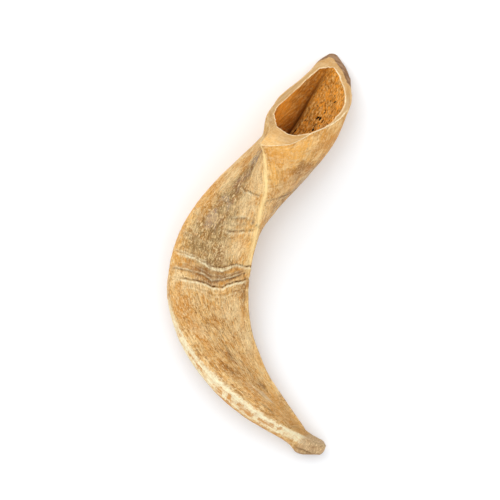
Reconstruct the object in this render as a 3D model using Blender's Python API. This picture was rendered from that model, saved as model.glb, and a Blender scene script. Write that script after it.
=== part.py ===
"""A hollow sheep horn, twisted and curved, lying on its side, in metres with +Z up.

The horn is one grown piece. Four lines run its whole length: the keel, the shoulder, the back edge and
the under edge. A section through the horn is a closed smooth curve around those four lines, and the
horn is the skin through all its sections, from the slanted rim of the hollow base to the blunt tip.
The hollow follows the outside at the thickness of the wall and closes about halfway along.
"""

import math

import bmesh
import bpy
import numpy as np
from mathutils import Vector

MM = 0.001

# Driving dimensions, in millimetres. X and Y lie on the surface that the horn rests on, and every line
# starts at the base and ends at the tip.
KEEL = (
    (-0.4, 48.0, 31.0), (1.6, 41.0, 32.0), (2.8, 31.0, 31.0), (1.8, 22.0, 28.0), (-0.4, 8.1, 21.5),
    (-3.2, -3.6, 17.5), (-4.6, -16.2, 14.5), (-4.0, -28.8, 12.0), (-0.8, -41.4, 10.0), (4.7, -54.5, 9.0),
    (11.9, -65.7, 8.5), (18.1, -74.7, 8.0), (21.2, -79.4, 7.0), (23.8, -81.4, 5.5), (27.0, -83.6, 4.5),
)
SHOULDER = (
    (2.8, 65.8, 19.7), (-2.4, 52.4, 20.5), (-23.2, 33.0, 18.0), (-33.7, 20.5, 15.5), (-39.2, 8.2, 14.0),
    (-41.2, -3.7, 14.5), (-39.7, -17.2, 16.0), (-34.2, -30.2, 17.5), (-25.9, -42.3, 18.0), (-13.9, -55.8, 18),
    (-0.6, -67.9, 17.0), (10.9, -76.7, 14.5), (16.5, -80.8, 12.0), (21.0, -83.5, 11.0), (28.0, -86.0, 9.8),
)
BACK_EDGE = (
    (33.7, 93.2, -1.0), (20.4, 66.5, 0.8), (3.0, 43.6, 1.0), (-17.0, 21.0, 1.5), (-32.4, 6.3, 3.0),
    (-40.3, -5.4, 6.0), (-42.5, -18.3, 8.5), (-39.3, -34.2, 10.5), (-32.7, -47.9, 12.0), (-21.6, -62.2, 12.5),
    (-8.3, -73.8, 11.5), (4.7, -81.2, 9.5), (12.4, -86.0, 7.5), (17.0, -90.8, 5.5), (26.2, -91.4, 5.0),
)
UNDER_EDGE = (
    (42.0, 66.6, 14.0), (34.4, 50.0, 12.0), (21.2, 34.2, 9.0), (6.6, 18.9, 5.0), (-8.0, 4.0, 1.5),
    (-17.3, -7.2, 0.0), (-23.6, -19.8, 0.0), (-21.8, -33.3, 1.5), (-15.5, -46.8, 3.0), (-6.5, -60.3, 3.5),
    (3.4, -72.0, 3.0), (11.5, -79.5, 1.5), (15.0, -83.5, 1.2), (19.5, -87.5, -0.8), (27.0, -88.5, -0.8),
)

# How the faces between the lines bulge out (plus) or hollow in (minus), one value for each station.
VALLEY = (-2.5, 0.0, -1.6, -3.2, -3.0, -2.0, -1.0, 0.0, 0.0, 0.0, 0.0, 0.0, 0.0, 0.0, 0.0)
BELLY = (-1.0, 1.0, 2.0, 2.5, 3.0, 3.0, 2.5, 2.0, 1.5, 1.0, 0.5, 0.0, 0.0, 0.0, 0.0)
SIDE_BULGE = (7.0, 4.5, 4.0, 3.0, 2.5, 3.0, 2.5, 2.0, 1.5, 1.0, 1.0, 0.5, 0.0, 0.0, 0.0)
BACK_BULGE = (2.5, 2.5, 3.0, 3.5, 3.5, 3.0, 3.0, 2.5, 2.0, 1.5, 1.0, 0.5, 0.0, 0.0, 0.0)
KEEL_SOFTNESS = (3.0, 4.5, 4.0, 3.2, 2.8, 2.6, 2.4, 2.2, 2.2, 2.2, 2.2, 2.2, 2.2, 2.2, 2.2)
EDGE_SOFTNESS = (9.0, 6.0, 5.0, 5.0, 5.0, 5.0, 5.0, 5.0, 5.0, 5.0, 5.0, 5.0, 5.0, 5.0, 5.0)

# The rim of the base is one flat slanted face.
RIM_POINT = (-0.4, 48.0, 31.0)
RIM_NORMAL = (0.114, 0.517, 0.848)

# The wall left around the hollow, one value for each control point of a section, the keel's three first.
# Behind the keel it is thick: a share of the way from the keel to the middle of the section.
WALL = (4.5, 4.5, 4.5, 4.5, 3.4, 3.6, 4.4, 6.0, 3.4, 3.2, 3.2, 3.4, 3.2, 3.0, 4.5)
KEEL_WALL = 0.43
CAVITY_END = 0.48
CREASE_SHARPNESS = 0.3

# Growth lines cross the horn in a shallow V: how far toward the tip they sag at each control point.
SAG = (0.0, -0.5, 0.8, 5.0, -1.5, -2.5, -2.0, 0.0, 0.0, 0.0, 0.0, 0.0, 0.0, 0.0, 0.0)
LENGTH = 176.0

# Growth ledges cross the top between the keel and the shoulder. Each is a lip and, a little nearer the
# tip, a groove: the station where it lies, how high the lip stands, how far back it reaches toward the
# base, and how deep the groove is.
LEDGES = (
    (2.50, 0.2, 3.0, 0.35), (3.25, 0.3, 4.0, 0.3), (3.58, 0.25, 2.5, 0.3), (4.25, 0.25, 4.0, 0.2),
    (4.98, 0.8, 4.0, 0.6), (5.36, 0.45, 2.0, 0.35), (5.60, 0.3, 1.5, 0.9), (5.78, 0.35, 1.0, 0.2),
    (6.80, 0.2, 5.0, 0.15), (8.30, 0.2, 6.0, 0.15),
)
LEDGE_SPREAD = (0.3, 1.5, 3.7, 5.2)
LIP_DROP = 0.8
GROOVE_PLACE = 1.3
GROOVE_WIDTH = 0.8

# Slow swellings along the whole skin: how many along the length, how high, and how many turns they make
# around it.
SWELLINGS = ((9.0, 0.18, 1.0), (17.0, 0.10, -2.0))

# The outside's rings stand closer together at the strongest ledges.
RING_SPANS = ((0.0, 0.32, 21), (0.335, 0.435, 21), (0.453, 1.0, 32))
STEPS_PER_SPAN = 3
CAVITY_RINGS = 17
TIP_RINGS = 4
TIP_REACH = 2.8
SHARP_ANGLE = math.radians(40.0)


def cubic_point(before, start, end, after, t):
    """A point of a Catmull-Rom curve between start and end, t of the way along."""
    return 0.5 * (
        2 * start
        + (end - before) * t
        + (2 * before - 5 * start + 4 * end - after) * t**2
        + (3 * start - before - 3 * end + after) * t**3
    )


def along(values, share):
    """The value or point at a share of the way from base to tip, on a smooth curve through the stations."""
    known = np.array(values, float)
    known = np.concatenate([[2 * known[0] - known[1]], known, [2 * known[-1] - known[-2]]])
    place = min(max(share, 0.0), 1.0) * (len(values) - 1)
    span = min(int(place), len(values) - 2)
    return cubic_point(*known[span : span + 4], place - span)


def toward(start, end, distance):
    """The point at that distance from start, on the way to end."""
    way = end - start
    return start + way * (distance / np.linalg.norm(way))


def pushed_out(start, end, share, height, centre):
    """The point a share of the way from start to end, pushed away from the centre by height."""
    way = (end - start) / np.linalg.norm(end - start)
    foot = start + (end - start) * share
    out = foot - centre
    out = out - way * out.dot(way)
    return foot + out / np.linalg.norm(out) * height


def corner(before, point, after, softness):
    """Three control points that hold a corner of the section; its softness is how far apart they are."""
    back = min(softness, 0.6 * np.linalg.norm(before - point))
    ahead = min(softness, 0.6 * np.linalg.norm(after - point))
    return [toward(point, before, back), point, toward(point, after, ahead)]


def outer_controls(share):
    """The control points of the outside's section at a share of the way from base to tip."""
    keel, shoulder, back, under = (along(line, share) for line in (KEEL, SHOULDER, BACK_EDGE, UNDER_EDGE))
    centre = (keel + shoulder + back + under) / 4
    valley = pushed_out(keel, shoulder, 0.38, along(VALLEY, share), centre)
    belly = pushed_out(keel, shoulder, 0.68, along(BELLY, share), centre)
    sides = [pushed_out(keel, under, place, along(SIDE_BULGE, share), centre) for place in (0.3, 0.7)]
    bottom = pushed_out(back, under, 0.5, along(BACK_BULGE, share), centre)
    thinnest = min(np.linalg.norm(back - under), np.linalg.norm(back - shoulder))
    edge_softness = min(along(EDGE_SOFTNESS, share), 0.4 * thinnest)
    controls = [
        *corner(sides[0], keel, valley, along(KEEL_SOFTNESS, share)),
        valley,
        belly,
        shoulder,
        *corner(shoulder, back, bottom, edge_softness),
        bottom,
        *corner(bottom, under, sides[1], edge_softness),
        *reversed(sides),
    ]
    return np.array(controls)


def inner_controls(share):
    """The control points of the hollow's section: the outside's, drawn in by the wall."""
    outer = outer_controls(share)
    centre = outer[[1, 5, 7, 11]].mean(axis=0)
    chords = np.roll(outer, -1, axis=0) - np.roll(outer, 1, axis=0)
    facing = np.cross(outer[1] - outer[7], outer[5] - outer[11])
    facing = facing / np.linalg.norm(facing)
    inward = np.cross(facing, chords)
    inward = inward / np.linalg.norm(inward, axis=1)[:, None]
    way = centre - outer
    reach = np.linalg.norm(way, axis=1)
    way = way / reach[:, None]
    squareness = np.maximum(np.abs((way * inward).sum(axis=1)), 0.75)
    wall = np.minimum(np.array(WALL) / squareness, 0.8 * reach)
    inner = outer + way * wall[:, None]
    for side in (6, 8):
        inner[side] = inner[7] + (inner[side] - inner[7]) * CREASE_SHARPNESS
    inner[1] = outer[1] + way[1] * reach[1] * KEEL_WALL
    inner[0] = (inner[1] + inner[14]) / 2
    inner[2] = (inner[1] + inner[3]) / 2
    taper = 1.0 - (share / CAVITY_END) ** 2
    return centre + (inner - centre) * taper


def weights(t):
    """How much each of four neighbouring control points counts, on a uniform cubic B-spline."""
    return np.array([(1 - t) ** 3, 3 * t**3 - 6 * t**2 + 4, -3 * t**3 + 3 * t**2 + 3 * t + 1, t**3]) / 6


def on_curve(controls, around):
    """The point of the closed curve that passes nearest to control number around."""
    first = int(around)
    near = [(first + k - 1) % len(controls) for k in range(4)]
    return weights(around - first) @ controls[near]


def sagged(share, around):
    """Where the growth line of that share lies at that place around the section."""
    fade = min(max(share - 0.12, 0.0) / 0.15, 1.0) * min((1.0 - share) / 0.3, 1.0)
    return share + fade * on_curve(np.array(SAG), around) / LENGTH


def on_rim(point):
    """The point moved straight up or down onto the flat rim."""
    rise = np.dot(np.array(RIM_POINT) - point, RIM_NORMAL) / RIM_NORMAL[2]
    return point + np.array([0.0, 0.0, rise])


def eased(value, start, end):
    """0 before start, 1 after end, and a smooth climb between."""
    t = min(max((value - start) / (end - start), 0.0), 1.0)
    return t * t * (3.0 - 2.0 * t)


def relief(share, around):
    """How far the skin stands out from the smooth horn, in millimetres."""
    stations = len(KEEL) - 1
    height = 0.0
    for station, lip, reach, groove in LEDGES:
        ahead = (share - station / stations) * LENGTH
        width = LIP_DROP if ahead > 0.0 else reach
        height += lip * math.exp(-((ahead / width) ** 2))
        height -= groove * math.exp(-(((ahead - GROOVE_PLACE) / GROOVE_WIDTH) ** 2))
    start, full, waning, end = LEDGE_SPREAD
    height *= eased(around, start, full) * (1.0 - eased(around, waning, end))
    for count, swelling, turns in SWELLINGS:
        height += swelling * math.sin(2.0 * math.pi * (count * share + turns * around / len(WALL)))
    return height * eased(share, 0.0, 0.08) * (1.0 - eased(share, 0.9, 1.0))


def outside_rings(places):
    """The rings of the outside and where each stands."""
    shares = np.concatenate([np.linspace(*span) for span in RING_SPANS])
    rings = []
    for share in shares:
        rings.append([on_curve(outer_controls(sagged(share, place)), place) for place in places])
    rings[0] = [on_rim(point) for point in rings[0]]
    return shares, rings


def tip_rings(before_last, last):
    """The rings that round off the blunt tip."""
    last = np.array(last)
    centre = last.mean(axis=0)
    ahead = centre - np.array(before_last).mean(axis=0)
    ahead = ahead / np.linalg.norm(ahead)
    turns = [i / TIP_RINGS * 0.44 * math.pi for i in range(1, TIP_RINGS + 1)]
    return [centre + (last - centre) * math.cos(turn) + ahead * TIP_REACH * math.sin(turn) for turn in turns]


def inside_rings(places):
    """The rings of the hollow, from its end to the rim."""
    rings = []
    for share in np.linspace(CAVITY_END, 0.0, CAVITY_RINGS + 1)[1:]:
        controls = inner_controls(share)
        rings.append([on_curve(controls, place) for place in places])
    rings[-1] = [on_rim(point) for point in rings[-1]]
    return rings


def close(mesh, ring):
    """Closes an end with a fan of triangles around the middle of its ring."""
    middle = sum((vert.co for vert in ring), Vector()) / len(ring)
    hub = mesh.verts.new(middle)
    for vert, following in zip(ring, ring[1:] + ring[:1]):
        mesh.faces.new((vert, following, hub))


def horn_material():
    material = bpy.data.materials.new("horn")
    material.use_nodes = True
    shader = material.node_tree.nodes["Principled BSDF"]
    shader.inputs["Base Color"].default_value = (0.56, 0.36, 0.17, 1.0)
    shader.inputs["Roughness"].default_value = 0.5
    shader.inputs["Metallic"].default_value = 0.0
    return material


def build():
    for obj in list(bpy.data.objects):
        bpy.data.objects.remove(obj)
    mesh = bmesh.new()
    places = np.arange(len(WALL) * STEPS_PER_SPAN) / STEPS_PER_SPAN
    shares, outside = outside_rings(places)
    inside = inside_rings(places)
    tip = tip_rings(outside[-2], outside[-1])
    rings = [[mesh.verts.new(Vector(point) * MM) for point in ring] for ring in [*inside, *outside, *tip]]
    for ring, following in zip(rings, rings[1:]):
        for j in range(len(ring)):
            k = (j + 1) % len(ring)
            mesh.faces.new((ring[j], ring[k], following[k], following[j]))
    close(mesh, rings[0])
    close(mesh, rings[-1])
    bmesh.ops.recalc_face_normals(mesh, faces=mesh.faces)
    mesh.normal_update()
    skin = rings[len(inside) : len(inside) + len(outside)]
    for share, ring in zip(shares, skin):
        for place, vert in zip(places, ring):
            vert.co += vert.normal * (relief(share, place) * MM)
    corners = np.array([vert.co for vert in mesh.verts])
    low, high = Vector(corners.min(axis=0)), Vector(corners.max(axis=0))
    footing = Vector(((low.x + high.x) / 2, (low.y + high.y) / 2, low.z))
    bmesh.ops.translate(mesh, verts=mesh.verts, vec=-footing)
    mesh.normal_update()
    for edge in mesh.edges:
        edge.smooth = edge.calc_face_angle() < SHARP_ANGLE
    data = bpy.data.meshes.new("horn")
    mesh.to_mesh(data)
    mesh.free()
    horn = bpy.data.objects.new("horn", data)
    bpy.context.scene.collection.objects.link(horn)
    data.materials.append(horn_material())
    for face in data.polygons:
        face.use_smooth = True


build()
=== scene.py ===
import math

import bpy
import numpy as np
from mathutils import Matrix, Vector, noise


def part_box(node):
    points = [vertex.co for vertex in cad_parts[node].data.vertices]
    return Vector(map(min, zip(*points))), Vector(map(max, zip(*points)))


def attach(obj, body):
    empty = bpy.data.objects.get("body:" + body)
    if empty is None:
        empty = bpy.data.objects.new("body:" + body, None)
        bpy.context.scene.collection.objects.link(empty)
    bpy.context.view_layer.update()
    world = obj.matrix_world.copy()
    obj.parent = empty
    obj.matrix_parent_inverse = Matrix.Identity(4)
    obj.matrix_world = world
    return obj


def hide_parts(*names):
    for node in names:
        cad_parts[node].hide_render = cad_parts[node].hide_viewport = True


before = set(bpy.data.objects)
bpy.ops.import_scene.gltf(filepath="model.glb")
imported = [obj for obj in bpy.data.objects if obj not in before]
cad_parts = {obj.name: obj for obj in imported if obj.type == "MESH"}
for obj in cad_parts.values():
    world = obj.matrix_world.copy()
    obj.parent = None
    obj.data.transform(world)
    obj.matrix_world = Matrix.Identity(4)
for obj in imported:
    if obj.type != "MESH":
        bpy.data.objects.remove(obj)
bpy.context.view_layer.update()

# The horn: the hollow sheath of keratin that a sheep grows over its horn core, twisted a quarter turn on
# its way to a blunt tip. It is one grown piece. At the base it was sawn off in one flat slanted cut, and
# inside it is hollow for about half of its length. Lengths are in millimetres until the mesh is made.

MM = 0.001

# Four lines run the whole length of the horn, from the base to the tip.
KEEL = (
    (-0.4, 48.0, 31.0), (1.6, 41.0, 32.0), (2.8, 31.0, 31.0), (1.8, 22.0, 28.0), (-0.4, 8.1, 21.5),
    (-3.2, -3.6, 17.5), (-4.6, -16.2, 14.5), (-4.0, -28.8, 12.0), (-0.8, -41.4, 10.0), (4.7, -54.5, 9.0),
    (11.9, -65.7, 8.5), (18.1, -74.7, 8.0), (21.2, -79.4, 7.0), (23.8, -81.4, 5.5), (27.0, -83.6, 4.5),
)
SHOULDER = (
    (2.8, 65.8, 19.7), (-2.4, 52.4, 20.5), (-23.2, 33.0, 18.0), (-33.7, 20.5, 15.5), (-39.2, 8.2, 14.0),
    (-41.2, -3.7, 14.5), (-39.7, -17.2, 16.0), (-34.2, -30.2, 17.5), (-25.9, -42.3, 18.0),
    (-13.9, -55.8, 18.0), (-0.6, -67.9, 17.0), (10.9, -76.7, 14.5), (16.5, -80.8, 12.0),
    (21.0, -83.5, 11.0), (28.0, -86.0, 9.8),
)
BACK_EDGE = (
    (33.7, 93.2, -1.0), (20.4, 66.5, 0.8), (3.0, 43.6, 1.0), (-17.0, 21.0, 1.5), (-32.4, 6.3, 3.0),
    (-40.3, -5.4, 6.0), (-42.5, -18.3, 8.5), (-39.3, -34.2, 10.5), (-32.7, -47.9, 12.0),
    (-21.6, -62.2, 12.5), (-8.3, -73.8, 11.5), (4.7, -81.2, 9.5), (12.4, -86.0, 7.5), (17.0, -90.8, 5.5),
    (26.2, -91.4, 5.0),
)
UNDER_EDGE = (
    (42.0, 66.6, 14.0), (34.4, 50.0, 12.0), (21.2, 34.2, 9.0), (6.6, 18.9, 5.0), (-8.0, 4.0, 1.5),
    (-17.3, -7.2, 0.0), (-23.6, -19.8, 0.0), (-21.8, -33.3, 1.5), (-15.5, -46.8, 3.0), (-6.5, -60.3, 3.5),
    (3.4, -72.0, 3.0), (11.5, -79.5, 1.5), (15.0, -83.5, 1.2), (19.5, -87.5, -0.8), (27.0, -88.5, -0.8),
)

# How the faces between the lines bulge out (plus) or hollow in (minus), one value for each station, and
# how far a corner's control points lie from it, which makes it softer.
VALLEY = (-2.5, 0.0, -1.6, -3.2, -3.0, -2.0, -1.0, 0.0, 0.0, 0.0, 0.0, 0.0, 0.0, 0.0, 0.0)
BELLY = (-1.0, 1.0, 2.0, 2.5, 3.0, 3.0, 2.5, 2.0, 1.5, 1.0, 0.5, 0.0, 0.0, 0.0, 0.0)
SIDE_BULGE = (7.0, 4.5, 4.0, 3.0, 2.5, 3.0, 2.5, 2.0, 1.5, 1.0, 1.0, 0.5, 0.0, 0.0, 0.0)
BACK_BULGE = (2.5, 2.5, 3.0, 3.5, 3.5, 3.0, 3.0, 2.5, 2.0, 1.5, 1.0, 0.5, 0.0, 0.0, 0.0)
KEEL_SOFTNESS = (3.0, 4.5, 4.0, 3.2, 2.8, 2.6, 2.4, 2.2, 2.2, 2.2, 2.2, 2.2, 2.2, 2.2, 2.2)
EDGE_SOFTNESS = (9.0, 6.0, 5.0, 5.0, 5.0, 5.0, 5.0, 5.0, 5.0, 5.0, 5.0, 5.0, 5.0, 5.0, 5.0)

# The rim is one flat slanted face. WALL is the wall around the hollow at each control point, KEEL_WALL
# the share of the way from the keel to the middle that is solid, and CAVITY_END the share of the length
# at which the hollow closes. SAG is how far toward the tip the growth lines bend at each control point.
RIM_POINT = np.array((-0.4, 48.0, 31.0))
RIM_NORMAL = np.array((0.114, 0.517, 0.848))
WALL = np.array((4.5, 4.5, 4.5, 4.5, 3.4, 3.6, 4.4, 6.0, 3.4, 3.2, 3.2, 3.4, 3.2, 3.0, 4.5))
KEEL_WALL = 0.43
CAVITY_END = 0.48
CREASE_SHARPNESS = 0.3
SAG = np.array((0.0, -0.5, 0.8, 5.0, -1.5, -2.5, -2.0, 0.0, 0.0, 0.0, 0.0, 0.0, 0.0, 0.0, 0.0))
LENGTH = 176.0
STATIONS = len(KEEL) - 1
CONTROLS = len(WALL)
KEEL_AT, SHOULDER_AT, BACK_AT, UNDER_AT = 1, 5, 7, 11

# The wall is measured toward the middle, so it is longer where that way is slanted: at most the wall over
# LEAST_SQUARENESS, and MOST_OF_REACH of the whole way.
LEAST_SQUARENESS = 0.75
MOST_OF_REACH = 0.8

# How far over from the keel the faces' own control points stand, and how much of a face a corner takes
# at most.
VALLEY_AT, BELLY_AT, SIDES_AT = 0.38, 0.68, (0.3, 0.7)
CORNER_SHARE = 0.6
EDGE_SHARE = 0.4


def eased(value, start, end):
    """0 before start, 1 after end, and a smooth climb between."""
    t = np.clip((value - start) / (end - start), 0.0, 1.0)
    return t * t * (3.0 - 2.0 * t)


def size_of(vectors):
    return np.linalg.norm(vectors, axis=-1, keepdims=True)


def along(values, share):
    """The values or points at each share of the way from base to tip, smoothly through the stations."""
    known = np.array(values, float)
    known = np.concatenate([[2 * known[0] - known[1]], known, [2 * known[-1] - known[-2]]])
    place = np.clip(share, 0.0, 1.0) * (len(values) - 1)
    span = np.minimum(place.astype(int), len(values) - 2)
    t = place - span
    if known.ndim > 1:
        t = t[..., None]
    before, start, end, after = (known[span + step] for step in range(4))
    bend = 2 * before - 5 * start + 4 * end - after
    turn_back = 3 * start - before - 3 * end + after
    return 0.5 * (2 * start + (end - before) * t + (bend * t**2 + turn_back * t**3))


def pushed_out(start, end, part_way, height, centre):
    """The point part of the way from start to end, pushed away from the centre by height."""
    way = (end - start) / size_of(end - start)
    foot = start + (end - start) * part_way
    out = foot - centre
    out = out - way * (out * way).sum(axis=-1, keepdims=True)
    return foot + out / size_of(out) * height[..., None]


def corner(before, point, after, softness):
    """Three control points that hold a corner of the section; its softness is how far apart they are."""
    back, ahead = before - point, after - point
    near = point + back / size_of(back) * np.minimum(softness[..., None], CORNER_SHARE * size_of(back))
    far = point + ahead / size_of(ahead) * np.minimum(softness[..., None], CORNER_SHARE * size_of(ahead))
    return [near, point, far]


def skin_controls(share):
    """The control points of the skin's section at each share of the way from base to tip."""
    keel, shoulder, back, under = (along(line, share) for line in (KEEL, SHOULDER, BACK_EDGE, UNDER_EDGE))
    centre = (keel + shoulder + back + under) / 4
    valley = pushed_out(keel, shoulder, VALLEY_AT, along(VALLEY, share), centre)
    belly = pushed_out(keel, shoulder, BELLY_AT, along(BELLY, share), centre)
    sides = [pushed_out(keel, under, place, along(SIDE_BULGE, share), centre) for place in SIDES_AT]
    bottom = pushed_out(back, under, 0.5, along(BACK_BULGE, share), centre)
    thinnest = np.minimum(size_of(back - under), size_of(back - shoulder))[..., 0]
    edge_softness = np.minimum(along(EDGE_SOFTNESS, share), EDGE_SHARE * thinnest)
    controls = [
        *corner(sides[0], keel, valley, along(KEEL_SOFTNESS, share)),
        valley,
        belly,
        shoulder,
        *corner(shoulder, back, bottom, edge_softness),
        bottom,
        *corner(bottom, under, sides[1], edge_softness),
        *reversed(sides),
    ]
    return np.stack(controls, axis=-2)


def hollow_controls(share):
    """The control points of the hollow's section: the skin's, drawn in by the wall."""
    outer = skin_controls(share)
    centre = outer[..., [KEEL_AT, SHOULDER_AT, BACK_AT, UNDER_AT], :].mean(axis=-2, keepdims=True)
    chords = np.roll(outer, -1, axis=-2) - np.roll(outer, 1, axis=-2)
    keel_way = outer[..., KEEL_AT, :] - outer[..., BACK_AT, :]
    shoulder_way = outer[..., SHOULDER_AT, :] - outer[..., UNDER_AT, :]
    facing = np.cross(keel_way, shoulder_way)
    inward = np.cross((facing / size_of(facing))[..., None, :], chords)
    inward = inward / size_of(inward)
    reach = size_of(centre - outer)
    way = (centre - outer) / reach
    squareness = np.maximum(np.abs((way * inward).sum(axis=-1, keepdims=True)), LEAST_SQUARENESS)
    inner = outer + way * np.minimum(WALL[:, None] / squareness, MOST_OF_REACH * reach)
    crease = inner[..., BACK_AT, :]
    for side in (BACK_AT - 1, BACK_AT + 1):
        inner[..., side, :] = crease + (inner[..., side, :] - crease) * CREASE_SHARPNESS
    inner[..., KEEL_AT, :] = outer[..., KEEL_AT, :] + (way * reach)[..., KEEL_AT, :] * KEEL_WALL
    for side, beyond in ((KEEL_AT - 1, CONTROLS - 1), (KEEL_AT + 1, KEEL_AT + 2)):
        inner[..., side, :] = (inner[..., KEEL_AT, :] + inner[..., beyond, :]) / 2
    taper = 1.0 - (share / CAVITY_END) ** 2
    return centre + (inner - centre) * taper[..., None, None]


def on_section(controls, around):
    """The point of each closed section at a place around it, counted in control points."""
    first = np.floor(around).astype(int)
    t = (around - first)[..., None]
    weights = ((1 - t) ** 3, 3 * t**3 - 6 * t**2 + 4, -3 * t**3 + 3 * t**2 + 3 * t + 1, t**3)
    point = 0.0
    for step, weight in enumerate(weights):
        place = ((first + step - 1) % CONTROLS)[..., None, None]
        point = point + np.take_along_axis(controls, place, axis=-2)[..., 0, :] * weight / 6
    return point


# The sag starts a little way along the horn and dies out toward the tip.
SAG_FROM, SAG_RISE, SAG_FALL = 0.12, 0.15, 0.3


def sagged(share, around):
    """Where the growth line of that share lies at that place around the section."""
    fade = np.clip((share - SAG_FROM) / SAG_RISE, 0.0, 1.0) * np.clip((1.0 - share) / SAG_FALL, 0.0, 1.0)
    sag = on_section(np.broadcast_to(SAG[:, None], (*around.shape, CONTROLS, 1)), around)[..., 0]
    return share + fade * sag / LENGTH


def rise_to_rim(points):
    """How far straight up from each point the flat rim lies."""
    return ((RIM_POINT - points) @ RIM_NORMAL / RIM_NORMAL[2])[..., None] * np.array((0.0, 0.0, 1.0))


# The rows of the mesh run from the bottom of the hollow up to the rim, over it, and down the skin to the
# tip; the columns run around. They stand closest at the rim's two edges and at the strong growth ledges.
COLUMNS = 208
HOLLOW_ROWS = 90
RIM_EDGE_STEPS = np.array((0.12, 0.3, 0.6))
RIM_MIDDLE_ROWS = 11
RIM_ROWS = RIM_MIDDLE_ROWS + 2 * len(RIM_EDGE_STEPS)
RIM_FADE = 0.016
HOLLOW_RIM_FADE = CAVITY_END / 17
EDGE_ROWS = 5
EDGE_STEP = 0.0008
SKIN_SPANS = ((0.005, 0.335, 118), (0.337, 0.431, 84), (0.434, 1.0, 142))
TIP_ROWS = 8
TIP_REACH = 2.8

edge_shares = np.arange(EDGE_ROWS) * EDGE_STEP
up_the_hollow = np.linspace(CAVITY_END, 0.005, HOLLOW_ROWS - EDGE_ROWS)
hollow_shares = np.concatenate([up_the_hollow, edge_shares[::-1]])
skin_shares = np.concatenate([edge_shares, *[np.linspace(*span) for span in SKIN_SPANS]])

# Columns are evenly spaced on a section at a third of the length, but closer on the side that lies up.
FULL_TURN = 2 * math.pi
MIDDLE_SHARE = 0.33
TOP_UNTIL, TOP_FROM = 6.5, 13.5
TOP_SHARE = 1.45
fine = np.linspace(0.0, CONTROLS, 3001)
middle = on_section(skin_controls(np.full(fine.shape, MIDDLE_SHARE)), fine)
steps = size_of(np.diff(middle, axis=0))[:, 0]
steps = steps * np.where((fine[:-1] < TOP_UNTIL) | (fine[:-1] > TOP_FROM), TOP_SHARE, 1.0)
travelled = np.concatenate([[0.0], np.cumsum(steps)])
column_places = np.interp(np.linspace(0.0, travelled[-1], COLUMNS + 1), travelled, fine)[:-1]


def spread(shares):
    """Every pair of a row's share and a column's place."""
    return np.meshgrid(shares, column_places, indexing="ij")


share, around = spread(skin_shares)
skin = on_section(skin_controls(sagged(share, around)), around)
rim_share, rim_around = spread(np.array([0.0]))
rim_outer = on_section(skin_controls(rim_share), rim_around)
rim_inner = on_section(hollow_controls(rim_share), rim_around)
skin = skin + rise_to_rim(rim_outer) * np.clip(1.0 - share / RIM_FADE, 0.0, 1.0)[..., None]

hollow_share, hollow_around = spread(hollow_shares)
hollow = on_section(hollow_controls(hollow_share), hollow_around)
hollow_fade = np.clip(1.0 - hollow_share / HOLLOW_RIM_FADE, 0.0, 1.0)
hollow = hollow + rise_to_rim(rim_inner) * hollow_fade[..., None]

# The sawn end is worn and uneven. Each pair is a place around and how many millimetres the rim's outer
# edge stands further out there, or its inner edge further in over the hollow.
OUTER_EDGE = (
    (0.0, 0.2), (1.0, 0.1), (1.6, 0.3), (2.0, -0.3), (2.3, -1.5), (2.9, -1.7), (3.7, -0.5), (4.5, -0.2),
    (4.9, -0.5), (5.05, 0.3), (5.17, 0.7), (5.4, 0.1), (5.6, -0.4), (5.9, -0.1), (6.2, 0.7), (6.5, 0.2),
    (7.0, 0.1), (7.7, 0.4), (8.5, 0.9), (9.3, 0.9), (10.2, 0.5), (11.2, 0.1), (11.9, -0.6), (12.5, -1.2),
    (13.1, -1.8), (13.5, -2.0), (13.8, -1.3), (14.2, 0.2), (15.0, 0.2),
)
INNER_EDGE = (
    (0.0, -0.8), (1.0, -0.3), (2.0, 0.0), (3.5, 0.3), (4.8, -0.2), (5.0, 0.4), (5.3, 0.9), (5.6, 0.5),
    (6.2, 0.5), (7.0, 0.2), (8.0, 0.3), (9.0, 0.3), (10.0, -0.2), (12.0, -0.2), (14.0, -0.5),
    (15.0, -0.8),
)
SKIN_WEAR_REACH = 0.035
HOLLOW_WEAR_REACH = 0.05
NOISE_RADIUS = 18.0


def round_noise(size, seed):
    """Smooth noise from -1 to 1 of a size in millimetres at each column, the same after a full turn."""
    angles = np.interp(column_places, fine, np.arange(len(fine)) / (len(fine) - 1) * FULL_TURN)
    reach = NOISE_RADIUS / size
    return np.array([noise.noise((math.cos(a) * reach, math.sin(a) * reach, seed)) for a in angles])


# At its far end the mouth of the hollow is blunt, not pointed: its edge stops at this place along Y.
BLUNT_END = 84.7
BLUNT_ROUND = 0.4
hollow_wear = (1.0 - eased(hollow_share, 0.0, HOLLOW_WEAR_REACH))[..., None]
skin_wear = (1.0 - eased(share, 0.0, SKIN_WEAR_REACH))[..., None]
past_end = hollow[-1, :, 1] - BLUNT_END
past_end = (past_end + np.sqrt(past_end**2 + BLUNT_ROUND)) / 2
along_rim = np.array((0.0, 1.0, -RIM_NORMAL[1] / RIM_NORMAL[2]))
hollow = hollow - past_end[:, None] * along_rim * hollow_wear

across_way = skin[0] - hollow[-1]
across_way = across_way / size_of(across_way)
outer_shift = np.interp(column_places, *np.array(OUTER_EDGE).T) + round_noise(3.0, 1.5) * 0.35
outer_shift = outer_shift + round_noise(1.1, 2.5) * 0.2
inner_shift = np.interp(column_places, *np.array(INNER_EDGE).T) + round_noise(2.2, 7.5) * 0.4
inner_shift = inner_shift + round_noise(0.9, 8.5) * 0.25
skin = skin + (across_way * outer_shift[:, None]) * skin_wear
hollow = hollow - (across_way * inner_shift[:, None]) * hollow_wear

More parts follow.
